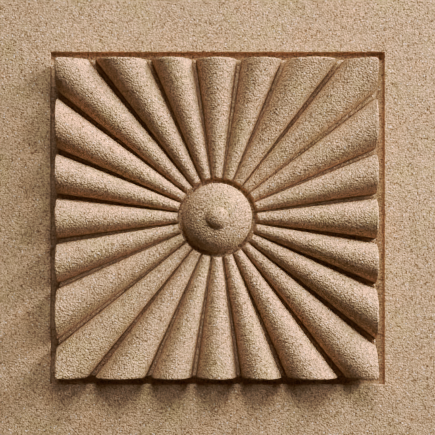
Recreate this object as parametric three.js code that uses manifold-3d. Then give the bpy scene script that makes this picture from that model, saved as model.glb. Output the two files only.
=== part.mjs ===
// Square stone rosette medallion, set in the recess of a plain ashlar slab.
// Millimetres, +Z up. The carved front faces -Y, the flat back lies on y = 0 and the origin is
// the middle of that back face, where the slab meets the wall behind it.
//
// Two stones: surround_slab is the plain face with a shallow square sinking in it, and
// rosette_block is the carved block bedded in the sinking with an open joint all round.

import * as THREE from 'three';
import { mergeVertices } from 'three/addons/utils/BufferGeometryUtils.js';
import Module from 'manifold-3d';

// Slab
const SLAB_WIDTH = 178;
const SLAB_HEIGHT = 178;
const SLAB_THICKNESS = 30;
const RECESS_DEPTH = 2.8;

// Block in plan, with its open joints to the recess walls and its bed joint behind
const BLOCK_SIDE = 127;
const SIDE_JOINT = 3.3;
const BED_JOINT = 0.3;
const BLOCK_SHIFT_X = -0.35;

// Reeds: half-round ribs that widen and rise from the middle to the four edges. Each quarter has
// one on the axis, one on the diagonal and equal ones between. Spans are degrees about the middle,
// and rises are measured from the slab's face.
const AXIS_REED_SPAN = 16.2;
const CORNER_REED_SPAN = 13.8;
const REEDS_BETWEEN = 2;
const CHANNEL_SPAN = 1.6;
const REED_RISE = 11;
const CHANNEL_FLOOR_RISE = 0.8;
const REED_SIDES = 24;
const REED_OVERRUN = 0.25;

// Boss in the middle, in a ring groove whose floor lies just under the slab's face
const BOSS_RADIUS = 13.9;
const GROOVE_WIDTH = 1.7;
const GROOVE_SINK = 0.1;
const BOSS_RIM_RISE = 2.4;
const DOME_HEIGHT = 6.2;
const DOME_FLATNESS = 3;
const DOME_FULLNESS = 0.7;
const NUB_RADIUS = 4.9;
const NUB_HEIGHT = 2.6;
const NUB_FULLNESS = 1.1;
const BOSS_SIDES = 48;
const DOME_STEPS = 9;
const NUB_STEPS = 5;

const SANDSTONE = { color: 0xbea78d, roughness: 0.95, metalness: 0 };

// Worked out from the sizes above. What stands proud of the slab's face goes to -Y.
const FACE_Y = -SLAB_THICKNESS;
const RECESS_SIDE = BLOCK_SIDE + 2 * SIDE_JOINT;
const RECESS_Y = FACE_Y + RECESS_DEPTH;
const QUARTER = 90;
const HALF_QUARTER = QUARTER / 2;
const BETWEEN_SPAN = (HALF_QUARTER - AXIS_REED_SPAN / 2 - CORNER_REED_SPAN / 2) / REEDS_BETWEEN;
const OVERCUT = 1;

const wasm = await Module();
wasm.setup();

/** A closed three.js geometry as a solid that can be joined and cut. */
function solidOf(geometry) {
  const bare = geometry.clone();
  for (const name of ['normal', 'uv']) bare.deleteAttribute(name);
  const merged = mergeVertices(bare, 1e-4);
  const corners = merged.index.array;
  const triangles = [];
  for (let i = 0; i < corners.length; i += 3) {
    const [a, b, c] = [corners[i], corners[i + 1], corners[i + 2]];
    if (a !== b && b !== c && c !== a) triangles.push(a, b, c);
  }
  return new wasm.Manifold(new wasm.Mesh({
    numProp: 3,
    vertProperties: new Float32Array(merged.attributes.position.array),
    triVerts: new Uint32Array(triangles),
  }));
}

/** A joined or cut solid back as a three.js geometry with flat faces. */
function geometryOf(solid) {
  const mesh = solid.getMesh();
  const geometry = new THREE.BufferGeometry();
  geometry.setAttribute('position', new THREE.BufferAttribute(mesh.vertProperties, 3));
  geometry.setIndex(new THREE.BufferAttribute(mesh.triVerts, 1));
  geometry.computeVertexNormals();
  return geometry;
}

/** An upright plate centred on the Y axis, from its front level to its back level. */
function plate(width, height, frontY, backY) {
  const box = new THREE.BoxGeometry(width, backY - frontY, height);
  return solidOf(box.translate(0, (frontY + backY) / 2, 0));
}

/** A form turned about the Y axis from [radius, rise above the slab's face] points. */
function turned(points) {
  const profile = points.map(([radius, rise]) => new THREE.Vector2(radius, rise));
  const lathe = new THREE.LatheGeometry(profile, BOSS_SIDES);
  return solidOf(lathe.rotateX(Math.PI).translate(0, FACE_Y, 0));
}

/** Every reed's direction and span in degrees. */
function reedLayout() {
  const layout = [];
  for (let axis = 0; axis < 4 * QUARTER; axis += QUARTER) {
    layout.push([axis, AXIS_REED_SPAN]);
    layout.push([axis + HALF_QUARTER, CORNER_REED_SPAN]);
    for (let i = 0; i < REEDS_BETWEEN; i += 1) {
      const away = AXIS_REED_SPAN / 2 + BETWEEN_SPAN * (i + 0.5);
      layout.push([axis + away, BETWEEN_SPAN]);
      layout.push([axis - away, BETWEEN_SPAN]);
    }
  }
  return layout;
}

/**
 * One reed: an elliptical cone lying on the channel floor with its tip at the block's middle. Its
 * foot leaves half a channel free on each side, and its crown rises in a straight line to
 * REED_RISE where the reed's axis crosses the edge of the square. It runs past that edge by the
 * share REED_OVERRUN, to be cut there.
 */
function reed(direction, span) {
  const angle = THREE.MathUtils.degToRad(direction);
  const toEdge = BLOCK_SIDE / 2 / Math.max(Math.abs(Math.cos(angle)), Math.abs(Math.sin(angle)));
  const reach = toEdge * (1 + REED_OVERRUN);
  const halfWidth = reach * Math.tan(THREE.MathUtils.degToRad(span - CHANNEL_SPAN) / 2);
  const crown = ((REED_RISE - CHANNEL_FLOOR_RISE) * reach) / toEdge;
  const cone = new THREE.ConeGeometry(1, reach, REED_SIDES);
  cone.translate(0, -reach / 2, 0).scale(crown, 1, halfWidth).rotateZ(Math.PI / 2);
  return solidOf(cone.rotateY(angle).translate(0, FACE_Y - CHANNEL_FLOOR_RISE, 0));
}

/** The carved block about its own axis. */
function carvedBlock() {
  let solid = plate(BLOCK_SIDE, BLOCK_SIDE, FACE_Y - CHANNEL_FLOOR_RISE, RECESS_Y - BED_JOINT);
  for (const [direction, span] of reedLayout()) solid = solid.add(reed(direction, span));
  const envelope = plate(BLOCK_SIDE, BLOCK_SIDE, FACE_Y - REED_RISE - OVERCUT, RECESS_Y - BED_JOINT);
  solid = solid.intersect(envelope);
  const grooveRadius = BOSS_RADIUS + GROOVE_WIDTH;
  const groove = turned([
    [0, -GROOVE_SINK],
    [grooveRadius, -GROOVE_SINK],
    [grooveRadius, REED_RISE + OVERCUT],
    [0, REED_RISE + OVERCUT],
  ]);
  return solid.subtract(groove).add(boss());
}

/** Rise of the dome at a radius: BOSS_RIM_RISE at its rim, and nearly level in the middle. */
function domeRise(radius) {
  const share = Math.min(radius / BOSS_RADIUS, 1);
  return BOSS_RIM_RISE + DOME_HEIGHT * (1 - share ** DOME_FLATNESS) ** DOME_FULLNESS;
}

/** The boss: an upright rim, the dome, and a small nub with a hollow foot in its middle. */
function boss() {
  const footRise = -GROOVE_SINK - OVERCUT;
  const points = [[0, footRise], [BOSS_RADIUS, footRise]];
  for (let i = 0; i <= DOME_STEPS; i += 1) {
    const radius = BOSS_RADIUS - ((BOSS_RADIUS - NUB_RADIUS) * i) / DOME_STEPS;
    points.push([radius, domeRise(radius)]);
  }
  for (let i = 1; i <= NUB_STEPS; i += 1) {
    const share = 1 - i / NUB_STEPS;
    const nub = NUB_HEIGHT * (1 - share ** 2) ** NUB_FULLNESS;
    points.push([NUB_RADIUS * share, domeRise(NUB_RADIUS * share) + nub]);
  }
  return turned(points);
}

/** The slab with its square sinking. */
function slab() {
  const stone = plate(SLAB_WIDTH, SLAB_HEIGHT, FACE_Y, 0);
  return stone.subtract(plate(RECESS_SIDE, RECESS_SIDE, FACE_Y - OVERCUT, RECESS_Y));
}

/** A named piece of the medallion. */
function piece(name, solid, finish) {
  const mesh = new THREE.Mesh(geometryOf(solid), new THREE.MeshStandardMaterial(finish));
  mesh.name = name;
  return mesh;
}

const rosetteBlock = piece('rosette_block', carvedBlock(), SANDSTONE);
rosetteBlock.position.x = BLOCK_SHIFT_X;

const medallion = new THREE.Group();
medallion.add(rosetteBlock);
medallion.add(piece('surround_slab', slab(), SANDSTONE));

export default medallion;
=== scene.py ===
"""Square sandstone rosette medallion: the finished looks of the carved block and its slab.

Metres, +Z up, the carved front faces -Y and the flat back lies on y = 0. Each stone is one closed
skin of rings: the block's rings run round its middle, from the nub over the boss and the reeds to
the end faces and the back, and the slab's are squares, from the sinking over its wall and the plain
face to the sides and the back. The skins are then roughened as fine sandstone is.
"""
import math

import bpy
import numpy as np
from mathutils import Matrix, Vector


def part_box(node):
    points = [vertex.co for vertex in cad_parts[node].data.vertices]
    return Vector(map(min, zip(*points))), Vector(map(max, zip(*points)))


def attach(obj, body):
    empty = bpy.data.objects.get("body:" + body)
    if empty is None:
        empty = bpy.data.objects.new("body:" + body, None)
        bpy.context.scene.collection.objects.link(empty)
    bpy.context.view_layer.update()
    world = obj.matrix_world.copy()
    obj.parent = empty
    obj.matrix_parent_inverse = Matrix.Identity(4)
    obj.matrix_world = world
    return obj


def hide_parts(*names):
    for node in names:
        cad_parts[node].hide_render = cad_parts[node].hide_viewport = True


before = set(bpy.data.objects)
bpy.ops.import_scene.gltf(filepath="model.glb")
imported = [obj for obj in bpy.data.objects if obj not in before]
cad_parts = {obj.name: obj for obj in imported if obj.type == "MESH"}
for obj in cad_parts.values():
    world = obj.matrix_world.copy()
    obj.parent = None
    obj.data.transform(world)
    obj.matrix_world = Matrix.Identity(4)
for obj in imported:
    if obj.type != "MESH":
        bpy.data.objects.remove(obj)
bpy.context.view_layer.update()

MM = 0.001
SEED = 24

# Large odd numbers that scatter the bits of the random draws
CELL_SCATTER = (374761393, 668265263, 2246822519)
SEED_SCATTER = 3266489917
FOLD_SCATTER = (1274126177, 2654435761)

# Sizes that come from the frame
SLAB_LOW, SLAB_HIGH = (np.array(corner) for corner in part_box("surround_slab"))
BLOCK_LOW, BLOCK_HIGH = (np.array(corner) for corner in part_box("rosette_block"))
FACE_Y = SLAB_LOW[1]
SLAB_HALF = (SLAB_HIGH[0] - SLAB_LOW[0]) / 2
SLAB_DEPTH = SLAB_HIGH[1] - SLAB_LOW[1]
BLOCK_X = (BLOCK_LOW[0] + BLOCK_HIGH[0]) / 2
BLOCK_HALF = (BLOCK_HIGH[0] - BLOCK_LOW[0]) / 2
BLOCK_BACK_RISE = FACE_Y - BLOCK_HIGH[1]

# Reeds: spans are degrees about the middle, and rises are measured from the slab's face
AXIS_REED_SPAN = 16.2
CORNER_REED_SPAN = 13.8
BETWEEN_REED_SPAN = 15.0
REED_RISE = 10.9 * MM
REED_END_ROUNDING = 0.8 * MM

# Channels: a crease along each reed's foot and a low fillet between the creases. The crease's depth
# and the fillet's rise are those at the block's edge, and the fillet has a share of the width.
CHANNEL_SPAN = 1.6
CHANNEL_RISE = 0.8 * MM
CREASE_DEPTH = 1.0 * MM
FILLET_RISE = 0.15 * MM
FILLET_SHARE = 0.5

# Hand work: the reeds differ in height, by the sine of so many radians for each tenth of a degree
# of their direction, the carving stands a little right of and above the block's middle, and the
# block is a little less tall than wide
REED_UNEVENNESS = 0.18 * MM
REED_UNEVEN_STEP = 7.3
CARVING_SHIFT = (0.23 * MM, 0.25 * MM)
HEIGHT_SHARE = 0.9945

# Block edges
BLOCK_ARRIS = 0.7 * MM
BLOCK_ARRIS_SHARE = BLOCK_ARRIS / BLOCK_HALF
BLOCK_CORNER_SHARPNESS = 110

# Boss and its ring groove, whose walls lean by shares of the groove's width
BOSS_RADIUS = 13.85 * MM
BOSS_RIM_RISE = 2.4 * MM
DOME_HEIGHT = 6.1 * MM
DOME_POWERS = (3.0, 0.7)
NUB_RADIUS = 4.4 * MM
NUB_HEIGHT = 2.6 * MM
NUB_POWER = 0.8
GROOVE_WIDTH = 1.7 * MM
GROOVE_RISE = -0.1 * MM
GROOVE_END = BOSS_RADIUS + GROOVE_WIDTH
INNER_WALL_LEAN = 0.04
OUTER_WALL_LEAN = 0.06

# Bead round the dome's foot, all in parts of its size
BEAD_SIZE = 0.8 * MM
BEAD_START = BOSS_RADIUS - 1.4 * BEAD_SIZE
BEAD_INSET = 0.55 * BEAD_SIZE
BEAD_HEIGHT = 0.35 * BEAD_SIZE
BEAD_WIDTH = 0.3 * BEAD_SIZE
DOME_INSET = 0.25 * BEAD_SIZE
RIM_ROUNDING = 0.2 * BEAD_SIZE

# Sinking in the slab
SIDE_JOINT = 3.3 * MM
BED_JOINT = 0.3 * MM
RECESS_HALF = BLOCK_HALF + SIDE_JOINT
RECESS_RISE = BLOCK_BACK_RISE - BED_JOINT
SLAB_ARRIS = 0.3 * MM

# Rays across half a reed, the share of that half where they crowd towards its foot, and the share
# of a reed's length from which all of them are used
RAYS_PER_HALF = 22
FOOT_SHARE = 0.2
ALL_RAYS_START = 0.52

# Rings on each form, the share of a reed's length that its end rings take, points along each side
# of a slab's ring, and the turns of an arris in rings
NUB_RINGS = 10
DOME_RINGS = 16
BEAD_RINGS = 8
REED_END_RINGS = 4
REED_END_SHARE = 0.03
REED_RINGS = 73
SIDE_POINTS = 300
FACE_RINGS = 45
SIDE_RINGS = 12
BACK_RINGS = 24
ARRIS_TURNS = np.radians((30, 60, 90))
WORN_ARRIS_TURNS = np.radians((18, 36, 54, 72, 90))

# Wear: how far it reaches in from an arris, and how fast it fades down the block's end faces
BLOCK_WEAR_REACH = 1.6 * MM
SLAB_WEAR_REACH = 1.0 * MM
END_WEAR_FADE = 12
OUTER_ARRIS_WEAR = 0.6

# Painted shade, from 0 to 1, makes the stone browner where shade falls: in the creases of the reeds and at
# the arris, in the ring groove, down the block's end faces and in the sinking. On a reed it starts at the
# share of the half width given first below, and on the block's end faces it is full at the depth given below
# under the slab's face.
FOOT_PAINTED_SHADE_START = 0.97
ARRIS_PAINTED_SHADE = 0.5
GROOVE_PAINTED_SHADE = 0.3
GROOVE_EDGE_PAINTED_SHADE = 0.2
FULL_PAINTED_SHADE_DEPTH = 6 * MM
RECESS_PAINTED_SHADE = 0.15
RECESS_WALL_PAINTED_SHADE = 0.1

# Roughness in millimetres: (height, size) of the hand-cut lumps and of the grain, and the depths
# of pits, chips and the saw's work
BLOCK_LUMPS = ((0.07, 9), (0.05, 3.2))
BLOCK_GRAIN = ((0.035, 1.1), (0.03, 0.6))
BLOCK_PIT_DEPTH = 0.16
BLOCK_CHIP_DEPTH = 0.32
SLAB_LUMPS = ((0.05, 12), (0.04, 3))
SLAB_GRAIN = ((0.035, 1.1), (0.035, 0.6))
SLAB_PIT_DEPTH = 0.2
SLAB_CHIP_DEPTH = 0.3
SAW_RIPPLE_DEPTH = 0.03
SAW_LUMP_DEPTH = 0.05
SAW_CUT_DEPTH = 0.1

# Saw marks: their pitch, how they lean across the stone (x) and into it (y), and how far they
# wander, in radians of a ripple
SAW_PITCH = 2.6 * MM
SAW_LEAN = (0.35, 0.6)
SAW_WANDER = 1.5

# Sandstone
STONE_BODY = (0.636, 0.428, 0.288)
SLAB_BODY = (0.595, 0.402, 0.27)
# The tint below is painted shade, browner, for creases, the groove, the end faces and the sinking
PAINTED_SHADE_TINT = (0.62, 0.52, 0.42)
DARK_GRAIN_TINT = (0.42, 0.34, 0.27)
QUARTZ_COLOUR = (0.95, 0.84, 0.70)
STONE_ROUGHNESS = 0.95
STONE_SPECULAR = 0.12

# How strongly each shows in the colour, and in the relief
# The first strength below is that of the painted shade
PAINTED_SHADE_STRENGTH = 0.8
DARK_GRAIN_STRENGTH = 0.95
QUARTZ_STRENGTH = 0.75
PEBBLE_SWELL = 1.2
PORE_SINK = 0.5
STONE_RELIEF = 0.34 * MM
SLAB_RELIEF = 0.2 * MM

# Camera: how far it stands from the slab's face, and the width of the face that fills the picture
CAMERA_DISTANCE = 0.436
PICTURE_WIDTH = 0.174
CAMERA_X = 0.0
CAMERA_Z = 0.35 * MM
CAMERA_CLIP_START = 0.01
SENSOR_WIDTH = 36

# Lamps: name, azimuth and elevation in degrees, distance and size in metres, and power in watts
LAMPS = (
    ("raking_light", 34, 16, 1.1, (0.2, 0.2), 8.0),
    ("right_light", 26, 34, 1.1, (0.45, 0.3), 6.2),
    ("top_light", 79, 38.5, 1.1, (0.5, 0.3), 8.7),
    ("back_light", 60, -35, 1.2, (1.2, 0.8), 14),
    ("left_back_light", 200, -40, 1.2, (0.8, 0.8), 9),
)
LAMP_COLOUR = (1.0, 1.0, 1.06)

# Stage: the floor, the air that the camera sees, and the air that lights the stone
FLOOR_REACH = 3.0
FLOOR_GAP = 0.0002
FLOOR_PAINT = (0.6, 0.59, 0.57, 1)
FLOOR_ROUGHNESS = 0.9
FLOOR_GLOW = 0.45
PALE_AIR = (0.75, 0.74, 0.72, 1)
PALE_AIR_STRENGTH = 0.9
WARM_AIR = (1, 0.86, 0.72, 1)
WARM_AIR_STRENGTH = 0.038

# Response of the film as (light, level): all three channels together (3), then red (0), green (1)
# and blue (2) by themselves
FILM_CURVES = {
    3: [(0.0, 0.0), (0.03, 0.022), (0.1, 0.082), (0.2, 0.2), (0.4, 0.415), (0.6, 0.567),
        (0.83, 0.73), (1.0, 0.84)],
    0: [(0.0, 0.0), (0.014, 0.025), (0.032, 0.047), (0.059, 0.079), (0.098, 0.116), (0.144, 0.161),
        (0.25, 0.263), (0.4, 0.412), (0.58, 0.59), (1.0, 1.0)],
    1: [(0.0, 0.0), (0.012, 0.014), (0.04, 0.045), (0.085, 0.093), (0.16, 0.17), (0.25, 0.262),
        (0.4, 0.408), (1.0, 0.98)],
    2: [(0.0, 0.0), (0.008, 0.004), (0.016, 0.0105), (0.026, 0.0205), (0.041, 0.0358),
        (0.062, 0.0565), (0.12, 0.113), (0.2, 0.2), (0.3, 0.311), (0.37, 0.386), (1.0, 1.0)],
}


def lattice_draw(cells, seed):
    """One fixed draw from 0 to 1 for each whole-number cell: its three numbers and the seed are
    multiplied by large odd numbers and added, and the sum's bits are folded over three times."""
    cells = cells.astype(np.int64).astype(np.uint32)
    key = cells[..., 0] * np.uint32(CELL_SCATTER[0]) + cells[..., 1] * np.uint32(CELL_SCATTER[1])
    key = key + cells[..., 2] * np.uint32(CELL_SCATTER[2]) + np.uint32(seed * SEED_SCATTER % 2**32)
    key = (key ^ (key >> np.uint32(13))) * np.uint32(FOLD_SCATTER[0])
    key = (key ^ (key >> np.uint32(16))) * np.uint32(FOLD_SCATTER[1])
    return (key ^ (key >> np.uint32(15))) / float(2**32)


def uneven(points, size, seed):
    """Smooth unevenness from -1 to 1 with lumps of the given size: a draw at each corner of a cubic
    lattice, blended between the corners by 3 t squared less 2 t cubed along each axis."""
    place = points / size
    cell = np.floor(place)
    share = place - cell
    share = share * share * (3 - 2 * share)
    total = np.zeros(len(points))
    for corner in np.ndindex(2, 2, 2):
        weight = np.prod(np.where(np.array(corner) == 1, share, 1 - share), axis=1)
        total += weight * lattice_draw(cell + corner, seed)
    return 2 * total - 1


def layered(points, layers, seed):
    """Unevenness of several sizes added up, in millimetres, from each layer's (height, size)."""
    total = 0.0
    for number, (height, size) in enumerate(layers):
        total = total + height * uneven(points, size * MM, seed + number)
    return total


def chipping(points, size, start, seed):
    """Chips from 0 to 1, where the unevenness of the given size is over the start."""
    return np.clip(uneven(points, size, seed) - start, 0, 1)


def pitting(points, size, share, radius, seed):
    """Small round pits, 0 outside and 1 at the bottom: the given share of the cells of a lattice
    hold a pit at a drawn place, with a radius drawn between half the given one and all of it, and a
    bowl of 1 less the square of the distance over that radius."""
    cell = np.floor(points / size)
    deepest = np.zeros(len(points))
    for step in np.ndindex(3, 3, 3):
        near = cell + step - 1
        centre = np.stack([lattice_draw(near, seed + 1 + axis) for axis in range(3)], axis=1)
        reach = radius * (0.5 + 0.5 * lattice_draw(near, seed + 4))
        away = np.linalg.norm(points - (near + centre) * size, axis=1) / reach
        bowl = np.clip(1 - away**2, 0, 1) * (lattice_draw(near, seed) < share)
        deepest = np.maximum(deepest, bowl)
    return deepest


def bridge(inner, outer, inner_start, outer_start):
    """Faces between two rings of vertices, as a 2-D array: fans to a single point, four-sided faces
    between equal rings, and five-sided ones where one ring has twice the points of the other."""
    count = min(inner, outer) if min(inner, outer) > 1 else max(inner, outer)
    here = np.arange(count)
    after = (here + 1) % count
    if inner == 1:
        return np.stack([np.full(count, inner_start), outer_start + after, outer_start + here], axis=1)
    if outer == 1:
        return np.stack([np.full(count, outer_start), inner_start + here, inner_start + after], axis=1)
    if inner == outer:
        return np.stack([inner_start + here, inner_start + after, outer_start + after,
                         outer_start + here], axis=1)
    if outer == 2 * inner:
        return np.stack([inner_start + here, inner_start + after, outer_start + 2 * after,
                         outer_start + 2 * here + 1, outer_start + 2 * here], axis=1)
    return np.stack([inner_start + 2 * here, inner_start + 2 * here + 1, inner_start + 2 * after,
                     outer_start + after, outer_start + here], axis=1)


def skin_faces(counts):
    """All the faces of a skin of rings with the given numbers of points."""
    starts = np.concatenate([[0], np.cumsum(counts)])
    return [bridge(counts[i], counts[i + 1], starts[i], starts[i + 1]) for i in range(len(counts) - 1)]


def face_normals(points, faces):
    """A vector along each face's normal that grows with its area: the cross product of two sides of
    a triangle, or of two diagonals of a larger face."""
    corners = points[faces]
    middle = faces.shape[1] // 2
    if faces.shape[1] == 3:
        return np.cross(corners[:, 1] - corners[:, 0], corners[:, 2] - corners[:, 0])
    return np.cross(corners[:, middle] - corners[:, 0], corners[:, -1] - corners[:, middle - 1])


def outward_normals(points, face_groups):
    """Unit normal at each vertex: the sum of the normals of the faces round it, by their areas."""
    total = np.zeros_like(points)
    for faces in face_groups:
        normal = face_normals(points, faces)
        for column in range(faces.shape[1]):
            for axis in range(3):
                total[:, axis] += np.bincount(faces[:, column], normal[:, axis], len(points))
    length = np.linalg.norm(total, axis=1, keepdims=True)
    return total / np.maximum(length, 1e-15)


def turned_outward(points, face_groups):
    """The faces as they are, or all turned round if the volume that they enclose is negative."""
    volume = 0.0
    for faces in face_groups:
        volume += np.sum(face_normals(points, faces) * points[faces].mean(axis=1))
    return face_groups if volume > 0 else [faces[:, ::-1] for faces in face_groups]


class Skin:
    """The rings of a closed stone in turn, with named marks of their points, such as how much painted shade a
    point takes."""

    def __init__(self):
        self.rings = []
        self.marks = {}

    def add(self, x, y, z, **marks):
        """One more ring, or a single point. A number holds for all the points of the ring."""
        ring = np.stack(np.broadcast_arrays(*np.atleast_1d(x, y, z)), axis=1)
        self.rings.append(ring)
        for name, value in marks.items():
            self.marks.setdefault(name, []).append(np.broadcast_to(value, len(ring)))


def stone_piece(name, skin, roughen, material):
    """A closed stone from its skin. The roughen function gives each point's rise along its outward normal.
    The material reads the painted shade of the points, which makes them browner where shade falls."""
    points = np.vstack(skin.rings)
    marks = {key: np.concatenate(values) for key, values in skin.marks.items()}
    face_groups = turned_outward(points, skin_faces([len(ring) for ring in skin.rings]))
    normals = outward_normals(points, face_groups)
    points = points + normals * roughen(points, marks)[:, None]
    mesh = bpy.data.meshes.new(name)
    faces = [face for group in face_groups for face in group.tolist()]
    mesh.from_pydata(points.tolist(), [], faces)
    mesh.polygons.foreach_set("use_smooth", np.ones(len(mesh.polygons), bool))
    layer = mesh.attributes.new("painted_shade", "FLOAT", "POINT")
    layer.data.foreach_set("value", marks["painted_shade"].astype(np.float32))
    mesh.materials.append(material)
    mesh.update()
    piece = bpy.data.objects.new(name, mesh)
    bpy.context.scene.collection.objects.link(piece)
    return piece


def reed_layout():
    """Every reed's direction and span in radians, in turn round the block."""
    between = (BETWEEN_REED_SPAN, BETWEEN_REED_SPAN)
    quarter = [(0, AXIS_REED_SPAN)]
    start = AXIS_REED_SPAN / 2
    for span in (*between, CORNER_REED_SPAN, *between):
        quarter.append((start + span / 2, span))
        start += span
    layout = [(axis + away, span) for axis in (0, 90, 180, 270) for away, span in quarter]
    return np.radians(layout)


def ray_directions():
    """Rays round the block. Across half a reed they stand evenly over the crown and crowd towards
    the steep foot as 1 less the square of the rest, and the channel has a ray at its middle and at
    each side of its fillet. Returns each ray's direction, its reed's direction and its place: 0 on
    the reed's crown, 1 at its foot and more in the channel, and negative on the other side."""
    crown_rays = RAYS_PER_HALF // 2
    foot_rays = RAYS_PER_HALF - 1 - crown_rays
    crown = np.linspace(0, 1 - FOOT_SHARE, crown_rays + 1)
    foot = 1 - FOOT_SHARE * (1 - np.arange(1, foot_rays + 1) / foot_rays) ** 2
    half = np.concatenate([crown, foot])
    directions = []
    reeds = []
    places = []
    for reed, span in reed_layout():
        reed_half = math.tan((span - math.radians(CHANNEL_SPAN)) / 2)
        middle = math.tan(span / 2) / reed_half
        fillet = middle - (middle - 1) * FILLET_SHARE
        place = np.concatenate([[-middle, -fillet], -half[:0:-1], half, [fillet]])
        directions.append(reed + np.arctan(place * reed_half))
        reeds.append(np.full(len(place), reed))
        places.append(place)
    return np.concatenate(directions), np.concatenate(reeds), np.concatenate(places)


def to_edge(angle):
    """Distance from the block's middle to its edge: a square with barely rounded corners, as the
    superellipse of a high power."""
    power = BLOCK_CORNER_SHARPNESS
    return BLOCK_HALF / (np.abs(np.cos(angle)) ** power + np.abs(np.sin(angle)) ** power) ** (1 / power)


def reed_rise(radius, angle, reed, place):
    """Rise of a reed or a channel: half an ellipse across the reed, a crease at each side of its
    foot, and a low flat fillet between the creases. The crown rises in a straight line from the
    channel floor at the block's middle to REED_RISE at its edge, and the creases and the fillet
    grow likewise. The reed rounds down at the ring groove in a quarter of an ellipse."""
    section = np.sqrt(np.clip(1 - place**2, 0, 1))
    tenths = np.round(np.degrees(reed) * 10)
    hand = 1 + REED_UNEVENNESS / REED_RISE * np.sin(tenths * REED_UNEVEN_STEP)
    crown = (REED_RISE - CHANNEL_RISE) * radius * np.cos(angle - reed) / to_edge(reed) * hand
    along = np.clip((radius - BOSS_RADIUS - GROOVE_WIDTH) / REED_END_ROUNDING, 0, 1)
    growth = np.minimum(radius / BLOCK_HALF, 1)
    away = np.abs(place)
    floor = np.where(np.isclose(away, 1), -CREASE_DEPTH, FILLET_RISE * (away > 1)) * growth
    return CHANNEL_RISE + floor + crown * section * np.sqrt(1 - (1 - along) ** 2)


def reed_painted_shade(place):
    """How much painted shade a reed or a channel takes: full in the creases, where shade falls, and none on
    the fillet.
    """
    away = np.abs(place)
    hollow = np.clip((away - FOOT_PAINTED_SHADE_START) / (1 - FOOT_PAINTED_SHADE_START), 0, 1)
    return np.where(away > 1, 0.0, hollow)


def boss_rise(radius):
    """Rise of the boss: its rim, then the dome, which is 1 less the first of DOME_POWERS of the
    share of the radius, to the second of them, then the nub, which is 1 less the square of its own
    share, to NUB_POWER, and a bell curve for the thin bead round the dome's foot."""
    share = np.clip(radius / (BOSS_RADIUS - DOME_INSET), 0, 1)
    dome = DOME_HEIGHT * (1 - share ** DOME_POWERS[0]) ** DOME_POWERS[1]
    nub = NUB_HEIGHT * np.clip(1 - (radius / NUB_RADIUS) ** 2, 0, 1) ** NUB_POWER
    bead = BEAD_HEIGHT * np.exp(-((radius - BOSS_RADIUS + BEAD_INSET) / BEAD_WIDTH) ** 2)
    return BOSS_RIM_RISE + dome + nub + bead


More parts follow.
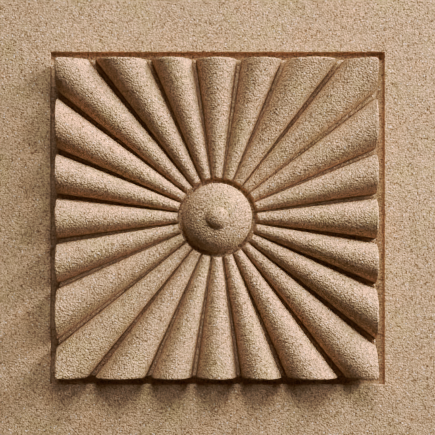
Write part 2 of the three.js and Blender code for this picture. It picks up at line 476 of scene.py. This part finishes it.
def carved_block(material):
    """The carved block: its rings run from the nub over the dome, down its rim, across the ring
    groove, along the reeds, over the worn arris, down the end faces and across the back."""
    fine = ray_directions()
    coarse = tuple(values[::2] for values in fine)
    sparse = tuple(values[::4] for values in fine)
    skin = Skin()

    def add(rays, radius, rise, painted_shade=0.0, wear=0.0, front=1.0):
        """One ring on the given rays. The carving's shift fades out towards the block's edge."""
        angle = rays[0]
        radius = np.broadcast_to(radius, angle.shape)
        shift = front * (1 - np.clip(radius / BLOCK_HALF, 0, 1) ** 4)
        x = BLOCK_X + radius * np.cos(angle) + CARVING_SHIFT[0] * shift
        z = HEIGHT_SHARE * radius * np.sin(angle) + CARVING_SHIFT[1] * shift
        skin.add(x, FACE_Y - rise, z, painted_shade=painted_shade, wear=wear, front=front)

    def add_pole(rise, front):
        """The single point that closes the front or the back."""
        x = BLOCK_X + CARVING_SHIFT[0] * front
        skin.add(x, FACE_Y - rise, CARVING_SHIFT[1] * front, painted_shade=0.0, wear=0.0, front=front)

    # Nub, dome and bead
    add_pole(boss_rise(0.0), 1.0)
    nub_radii = NUB_RADIUS * np.sin(np.linspace(0, math.pi / 2, NUB_RINGS + 1)[1:])
    dome_radii = np.linspace(NUB_RADIUS, BEAD_START, DOME_RINGS + 1)[1:]
    for radius in np.concatenate([nub_radii, dome_radii]):
        add(sparse if radius < BOSS_RADIUS / 2 else coarse, radius, boss_rise(radius))
    for radius in np.linspace(BEAD_START, BOSS_RADIUS - RIM_ROUNDING, BEAD_RINGS + 1)[1:]:
        add(coarse, radius, boss_rise(radius))

    # Rim of the boss and ring groove
    rim_rise = boss_rise(BOSS_RADIUS - RIM_ROUNDING)
    for turn in ARRIS_TURNS:
        add(coarse, BOSS_RADIUS - RIM_ROUNDING * (1 - np.sin(turn)),
            rim_rise - RIM_ROUNDING * (1 - np.cos(turn)))
    # Painted shade: the groove's walls and floor are browner, where shade falls.
    for share in (0.35, 0.7, 0.92):
        rise = rim_rise - RIM_ROUNDING + (GROOVE_RISE - rim_rise + RIM_ROUNDING) * share
        add(coarse, BOSS_RADIUS + INNER_WALL_LEAN * GROOVE_WIDTH * share, rise,
            painted_shade=GROOVE_PAINTED_SHADE * share)
    for share in (0.15, 0.5, 0.85):
        add(coarse, BOSS_RADIUS + GROOVE_WIDTH * share, GROOVE_RISE, painted_shade=GROOVE_PAINTED_SHADE)
    for share in (0.25, 0.6):
        add(coarse, BOSS_RADIUS + GROOVE_WIDTH * (1 - OUTER_WALL_LEAN + OUTER_WALL_LEAN * share),
            GROOVE_RISE + (CHANNEL_RISE - GROOVE_RISE) * share, painted_shade=GROOVE_EDGE_PAINTED_SHADE)

    # Reeds and channels, with close rings where the reeds round down at the groove
    shares = np.concatenate([np.linspace(0, REED_END_SHARE, REED_END_RINGS + 1),
                             np.linspace(REED_END_SHARE, 1, REED_RINGS + 1)[1:]])
    for share in shares:
        rays = coarse if share < ALL_RAYS_START else fine
        angle, _, place = rays
        edge = to_edge(angle)
        radius = GROOVE_END + (edge * (1 - BLOCK_ARRIS_SHARE) - GROOVE_END) * share
        wear = np.exp(-((edge - radius) / BLOCK_WEAR_REACH) ** 2)
        # Painted shade: the creases at the reeds' feet are browner, where shade falls.
        add(rays, radius, reed_rise(radius, *rays), painted_shade=reed_painted_shade(place), wear=wear)

    # Arris, end faces and back
    angle, _, place = fine
    edge = to_edge(angle)
    end_rise = reed_rise(edge * (1 - BLOCK_ARRIS_SHARE), *fine)
    # Painted shade: the arris is browner at the creases, and the end faces grow browner deeper in the joint,
    # where shade falls.
    for turn in WORN_ARRIS_TURNS:
        add(fine, edge * (1 - BLOCK_ARRIS_SHARE * (1 - np.sin(turn))),
            end_rise - BLOCK_ARRIS * (1 - np.cos(turn)),
            painted_shade=ARRIS_PAINTED_SHADE * reed_painted_shade(place), wear=1.0)
    drop = end_rise - BLOCK_ARRIS - BLOCK_BACK_RISE
    for share in (0.1, 0.3, 0.55, 0.8, 1.0):
        rise = end_rise - BLOCK_ARRIS - drop * share
        add(fine, edge, rise, painted_shade=np.clip(-rise / FULL_PAINTED_SHADE_DEPTH, 0, 1),
            wear=np.exp(-share * END_WEAR_FADE), front=0.0)
    for share in (0.985, 0.66, 0.33):
        add(coarse, to_edge(coarse[0]) * share, BLOCK_BACK_RISE, front=0.0)
    add_pole(BLOCK_BACK_RISE, 0.0)

    def roughen(points, marks):
        """Slow hand-cut unevenness, fine grain and pits, with the arris worn back in places. The
        end faces and the back only go inward."""
        front = marks["front"]
        lumps = layered(points, BLOCK_LUMPS, SEED)
        grain = layered(points, BLOCK_GRAIN, SEED + 2)
        pits = BLOCK_PIT_DEPTH * pitting(points, size=2.2 * MM, share=0.3, radius=0.7 * MM, seed=SEED + 10)
        chips = chipping(points, size=1.6 * MM, start=0.05, seed=SEED + 4) * marks["wear"]
        rise = (lumps * front + grain - pits * front - BLOCK_CHIP_DEPTH * chips) * MM
        return rise * front + (1 - front) * np.minimum(rise, 0)

    return stone_piece("carved_rosette", skin, roughen, material)


def square_ring(half, count):
    """Points evenly spaced round a square of the given half side, seen from the front, with count
    points on each side."""
    run = np.arange(4 * count) / count
    side = np.floor(run).astype(int)
    along = (run - side) * 2 - 1
    x = np.choose(side, [along, np.ones_like(along), -along, -np.ones_like(along)])
    z = np.choose(side, [-np.ones_like(along), along, np.ones_like(along), -along])
    return x * half, z * half


def sunk_slab(material):
    """The slab: its square rings run from the middle of the sinking's floor to its wall, up the
    wall, over the arris, across the face, over the outer arris, down the sides and across the back."""
    skin = Skin()

    def add(half, rise, count=SIDE_POINTS, painted_shade=0.0, wear=0.0, face=0.0, cut=0.0):
        """One square ring. The sinking is a little less tall than wide, by as much as the block,
        and the difference fades out towards the slab's edge."""
        x, z = square_ring(half, count)
        fade = np.clip((SLAB_HALF - half) / (SLAB_HALF - RECESS_HALF), 0, 1)
        height = 1 - (1 - HEIGHT_SHARE) * BLOCK_HALF / RECESS_HALF * fade
        skin.add(x, FACE_Y - rise, z * height, painted_shade=painted_shade, wear=wear, face=face, cut=cut)

    def add_pole(rise, cut):
        """The single point that closes the front or the back."""
        skin.add(0.0, FACE_Y - rise, 0.0, painted_shade=RECESS_PAINTED_SHADE * (1 - cut), wear=0.0, face=0.0, cut=cut)

    # Sinking: floor, wall and arris
    # Painted shade: the sinking's floor and wall are browner, where shade falls.
    add_pole(RECESS_RISE, 0.0)
    for share in (0.3, 0.6, 0.86):
        add(RECESS_HALF * share, RECESS_RISE, count=SIDE_POINTS // 4, painted_shade=RECESS_PAINTED_SHADE)
    add(RECESS_HALF * 0.9, RECESS_RISE, count=SIDE_POINTS // 2, painted_shade=RECESS_PAINTED_SHADE)
    for share in np.linspace(0.93, 1, 6):
        add(RECESS_HALF * share, RECESS_RISE, painted_shade=RECESS_PAINTED_SHADE)
    for share in (0.25, 0.5, 0.75, 1.0):
        add(RECESS_HALF, RECESS_RISE - (SLAB_ARRIS + RECESS_RISE) * share, painted_shade=RECESS_WALL_PAINTED_SHADE)
    for turn in ARRIS_TURNS:
        add(RECESS_HALF + SLAB_ARRIS * (1 - np.cos(turn)), -SLAB_ARRIS * (1 - np.sin(turn)),
            painted_shade=RECESS_WALL_PAINTED_SHADE * np.cos(turn), wear=1.0, face=1.0)

    # Face
    start = RECESS_HALF + SLAB_ARRIS
    for share in np.linspace(0, 1, FACE_RINGS + 1)[1:]:
        half = start + (SLAB_HALF - SLAB_ARRIS - start) * share
        add(half, 0.0, wear=np.exp(-((half - RECESS_HALF) / SLAB_WEAR_REACH) ** 2), face=1.0)

    # Outer arris, sides and back
    for turn in ARRIS_TURNS:
        add(SLAB_HALF - SLAB_ARRIS * (1 - np.sin(turn)), -SLAB_ARRIS * (1 - np.cos(turn)),
            wear=OUTER_ARRIS_WEAR, cut=1.0)
    for share in np.linspace(0, 1, SIDE_RINGS + 1)[1:]:
        add(SLAB_HALF, -SLAB_ARRIS - (SLAB_DEPTH - 2 * SLAB_ARRIS) * share,
            count=SIDE_POINTS // 2, cut=1.0)
    for turn in ARRIS_TURNS:
        add(SLAB_HALF - SLAB_ARRIS * (1 - np.cos(turn)), -SLAB_DEPTH + SLAB_ARRIS * (1 - np.sin(turn)),
            count=SIDE_POINTS // 2, cut=1.0)
    for share in np.linspace(1, 0, BACK_RINGS + 2)[1:-1]:
        add((SLAB_HALF - SLAB_ARRIS) * share, -SLAB_DEPTH, count=SIDE_POINTS // 4, cut=1.0)
    add_pole(-SLAB_DEPTH, 1.0)

    def roughen(points, marks):
        """Fine grain and pits on the rubbed face, a ragged arris, and shallow saw ripples on the
        cut sides and back, which only go inward."""
        lumps = layered(points, SLAB_LUMPS, SEED + 20)
        grain = layered(points, SLAB_GRAIN, SEED + 22)
        pits = SLAB_PIT_DEPTH * pitting(points, size=2.4 * MM, share=0.35, radius=0.75 * MM, seed=SEED + 30)
        chips = SLAB_CHIP_DEPTH * (chipping(points, size=1.3 * MM, start=0.1, seed=SEED + 24) * marks["wear"])
        rubbed = (lumps + grain - pits - chips) * MM
        run = points[:, 0] * SAW_LEAN[0] + points[:, 2] + points[:, 1] * SAW_LEAN[1]
        wander = SAW_WANDER * uneven(points, size=30 * MM, seed=SEED + 25)
        ripple = SAW_RIPPLE_DEPTH * np.sin(2 * np.pi * run / SAW_PITCH + wander)
        waves = SAW_LUMP_DEPTH * uneven(points, size=6 * MM, seed=SEED + 26)
        sawn = (ripple - SAW_CUT_DEPTH + waves + grain - chips) * MM
        inner = (lumps + grain) * MM
        rise = marks["face"] * rubbed + (1 - marks["face"]) * inner
        return np.where(marks["cut"] > 0.5, np.minimum(sawn, 0), rise)

    return stone_piece("sunk_slab", skin, roughen, material)


def add_node(tree, kind, settings=None, **values):
    """A shader node with its settings and the values of its input sockets, by name."""
    node = tree.nodes.new(kind)
    for key, value in (settings or {}).items():
        setattr(node, key, value)
    for key, value in values.items():
        node.inputs[key].default_value = value
    return node


def ramp(tree, source, stops):
    """A colour ramp over a value: a list of (place, colour), where a number stands for a grey."""
    node = tree.nodes.new("ShaderNodeValToRGB")
    elements = node.color_ramp.elements
    while len(elements) < len(stops):
        elements.new(0.5)
    for element, (place, colour) in zip(elements, stops):
        element.position = place
        element.color = (*colour, 1) if isinstance(colour, tuple) else (colour, colour, colour, 1)
    tree.links.new(source, node.inputs["Fac"])
    return node.outputs["Color"]


def mixed(tree, blend, factor, first, second):
    """Two colours mixed. The factor, and either colour, may be a value or another node's output."""
    node = tree.nodes.new("ShaderNodeMix")
    node.data_type = "RGBA"
    node.blend_type = blend
    for socket, value in ((node.inputs[0], factor), (node.inputs[6], first), (node.inputs[7], second)):
        if hasattr(value, "is_output"):
            tree.links.new(value, socket)
        else:
            socket.default_value = (*value, 1) if isinstance(value, tuple) else value
    return node.outputs[2]


def calculated(tree, operation, first, second):
    """Arithmetic on two values or outputs."""
    node = tree.nodes.new("ShaderNodeMath")
    node.operation = operation
    for socket, value in zip(node.inputs, (first, second)):
        if hasattr(value, "is_output"):
            tree.links.new(value, socket)
        else:
            socket.default_value = value
    return node.outputs[0]


def red_of(tree, colour):
    """The red channel of a colour, used as a draw from 0 to 1."""
    node = tree.nodes.new("ShaderNodeSeparateColor")
    tree.links.new(colour, node.inputs["Color"])
    return node.outputs["Red"]


def sandstone(name, body, relief):
    """Fine sandstone: a granular body colour with slow pinkish and yellowish mottling, scattered dark grains
    and pores, a few pale quartz grains, painted shade that makes it browner in creases and hollows, and a
    grain that also stands out as fine relief."""
    material = bpy.data.materials.new(name)
    material.use_nodes = True
    tree = material.node_tree
    shader = tree.nodes["Principled BSDF"]
    shader.inputs["Roughness"].default_value = STONE_ROUGHNESS
    shader.inputs["Specular IOR Level"].default_value = STONE_SPECULAR
    where = tree.nodes.new("ShaderNodeTexCoord").outputs["Object"]

    def noise(scale, detail, roughness=0.5):
        """Cloudy noise with so many lumps to the metre."""
        node = add_node(tree, "ShaderNodeTexNoise", Scale=scale, Detail=detail, Roughness=roughness)
        tree.links.new(where, node.inputs["Vector"])
        return node.outputs["Fac"]

    def grains(scale, randomness=1.0):
        """Grains as cells, so many to the metre, with a drawn colour and the distance from each
        cell's middle."""
        node = add_node(tree, "ShaderNodeTexVoronoi", Scale=scale, Randomness=randomness)
        tree.links.new(where, node.inputs["Vector"])
        return node

    def spots(cells, share, size):
        """1 on the middles of the drawn share of the cells, out to the given size, and 0 elsewhere."""
        chosen = calculated(tree, "LESS_THAN", red_of(tree, cells.outputs["Color"]), share)
        near = calculated(tree, "LESS_THAN", cells.outputs["Distance"], size)
        return calculated(tree, "MULTIPLY", chosen, near)

    # Body: slow mottling, then the grain
    mottle = ramp(tree, noise(scale=90, detail=3), [
        (0.3, (1.03, 0.98, 0.95)),
        (0.5, (1.0, 1.0, 1.0)),
        (0.7, (0.97, 1.0, 0.92)),
    ])
    cloud = ramp(tree, noise(scale=35, detail=2), [(0.3, 0.93), (0.7, 1.05)])
    pebble = grains(scale=1450, randomness=0.9)
    blotch = ramp(tree, pebble.outputs["Distance"], [
        (0.1, (1.09, 1.10, 1.11)),
        (0.35, (1.0, 1.0, 1.0)),
        (0.65, (0.88, 0.875, 0.87)),
    ])
    sand = grains(scale=2300)
    grain = ramp(tree, red_of(tree, sand.outputs["Color"]), [
        (0.0, (0.46, 0.45, 0.43)),
        (0.3, (0.91, 0.905, 0.90)),
        (1.0, (1.29, 1.30, 1.31)),
    ])
    colour = body
    for tint in (mottle, cloud, blotch, grain):
        colour = mixed(tree, "MULTIPLY", 1.0, colour, tint)

    # Dark grains and pores, then pale quartz grains
    dark_spot = spots(grains(scale=1300), share=0.14, size=0.42)
    darkness = calculated(tree, "MULTIPLY", dark_spot, DARK_GRAIN_STRENGTH)
    colour = mixed(tree, "MULTIPLY", darkness, colour, DARK_GRAIN_TINT)
    pale_spot = spots(grains(scale=1500), share=0.05, size=0.4)
    paleness = calculated(tree, "MULTIPLY", pale_spot, QUARTZ_STRENGTH)
    colour = mixed(tree, "MIX", paleness, colour, QUARTZ_COLOUR)

    # Painted shade: browner where shade falls, in the creases, the groove, the end faces and the sinking
    painted_shade = add_node(tree, "ShaderNodeAttribute", {"attribute_name": "painted_shade"}).outputs["Fac"]
    painted_shade_amount = calculated(tree, "MULTIPLY", painted_shade, PAINTED_SHADE_STRENGTH)
    colour = mixed(tree, "MULTIPLY", painted_shade_amount, colour, PAINTED_SHADE_TINT)
    tree.links.new(colour, shader.inputs["Base Color"])

    # Relief of the grain, with the pores sunk in it
    round_grains = calculated(tree, "MULTIPLY", pebble.outputs["Distance"], -PEBBLE_SWELL)
    height = calculated(tree, "ADD", noise(scale=2000, detail=2, roughness=0.6), round_grains)
    sunk_pores = calculated(tree, "MULTIPLY", dark_spot, PORE_SINK)
    height = calculated(tree, "SUBTRACT", height, sunk_pores)
    bump = add_node(tree, "ShaderNodeBump", Strength=1.0, Distance=relief)
    tree.links.new(height, bump.inputs["Height"])
    tree.links.new(bump.outputs["Normal"], shader.inputs["Normal"])
    return material


def area_light(name, azimuth, elevation, distance, size, power):
    """A soft rectangular lamp aimed at the middle of the panel. The azimuth is measured in the
    panel's plane from its right, counterclockwise, and the elevation from that plane to the front."""
    azimuth = math.radians(azimuth)
    elevation = math.radians(elevation)
    lamp = bpy.data.lights.new(name, "AREA")
    lamp.shape = "RECTANGLE"
    lamp.size, lamp.size_y = size
    lamp.energy = power
    lamp.color = LAMP_COLOUR
    flat = math.cos(elevation)
    back = Vector((flat * math.cos(azimuth), -math.sin(elevation), flat * math.sin(azimuth)))
    side = Vector((-math.sin(azimuth), 0, math.cos(azimuth)))
    turn = Matrix((side, back.cross(side), back)).transposed()
    thing = bpy.data.objects.new(name, lamp)
    thing.matrix_world = Matrix.Translation(back * distance + Vector((0, FACE_Y, 0))) @ turn.to_4x4()
    bpy.context.scene.collection.objects.link(thing)


def set_camera():
    """The camera looks square on at the panel from in front of its middle."""
    camera = bpy.data.cameras.new("camera")
    camera.sensor_width = SENSOR_WIDTH
    camera.lens = SENSOR_WIDTH * CAMERA_DISTANCE / PICTURE_WIDTH
    camera.clip_start = CAMERA_CLIP_START
    thing = bpy.data.objects.new("camera", camera)
    thing.location = (CAMERA_X, FACE_Y - CAMERA_DISTANCE, CAMERA_Z)
    thing.rotation_euler = (math.radians(90), 0, 0)
    bpy.context.scene.collection.objects.link(thing)
    bpy.context.scene.camera = thing


def set_floor():
    """A plain pale floor just under the slab, which glows a little and lights nothing."""
    reach = FLOOR_REACH
    level = SLAB_LOW[2] - FLOOR_GAP
    floor_mesh = bpy.data.meshes.new("floor")
    corners = [
        (-reach, -reach, level),
        (reach, -reach, level),
        (reach, reach, level),
        (-reach, reach, level),
    ]
    floor_mesh.from_pydata(corners, [], [(0, 1, 2, 3)])
    paint = bpy.data.materials.new("floor_paint")
    paint.use_nodes = True
    shader = paint.node_tree.nodes["Principled BSDF"]
    shader.inputs["Base Color"].default_value = FLOOR_PAINT
    shader.inputs["Emission Color"].default_value = PALE_AIR
    shader.inputs["Emission Strength"].default_value = FLOOR_GLOW
    shader.inputs["Roughness"].default_value = FLOOR_ROUGHNESS
    floor_mesh.materials.append(paint)
    floor = bpy.data.objects.new("floor", floor_mesh)
    bpy.context.scene.collection.objects.link(floor)
    floor.visible_diffuse = False


def set_air():
    """Plain pale air to look at, while a faint warm light falls on the stone from all round."""
    world = bpy.context.scene.world or bpy.data.worlds.new("world")
    bpy.context.scene.world = world
    world.use_nodes = True
    tree = world.node_tree
    tree.nodes.clear()
    seen = add_node(tree, "ShaderNodeBackground", Color=PALE_AIR, Strength=PALE_AIR_STRENGTH)
    lit = add_node(tree, "ShaderNodeBackground", Color=WARM_AIR, Strength=WARM_AIR_STRENGTH)
    path = tree.nodes.new("ShaderNodeLightPath")
    mix = tree.nodes.new("ShaderNodeMixShader")
    output = tree.nodes.new("ShaderNodeOutputWorld")
    tree.links.new(path.outputs["Is Camera Ray"], mix.inputs[0])
    tree.links.new(lit.outputs[0], mix.inputs[1])
    tree.links.new(seen.outputs[0], mix.inputs[2])
    tree.links.new(mix.outputs[0], output.inputs[0])


def set_film():
    """The response of camera film: a little more depth in the shade and softer highlights."""
    view = bpy.context.scene.view_settings
    view.view_transform = "Standard"
    view.use_curve_mapping = True
    for channel, stops in FILM_CURVES.items():
        curve = view.curve_mapping.curves[channel]
        for light, level in stops[1:-1]:
            curve.points.new(light, level)
        curve.points[len(stops) - 1].location = stops[-1]
    view.curve_mapping.update()


rosette = carved_block(sandstone("carved_stone", STONE_BODY, STONE_RELIEF))
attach(rosette, "root")
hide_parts("rosette_block")

slab = sunk_slab(sandstone("slab_stone", SLAB_BODY, SLAB_RELIEF))
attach(slab, "root")
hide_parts("surround_slab")

set_camera()
set_floor()
set_air()
for lamp_row in LAMPS:
    area_light(*lamp_row)
set_film()
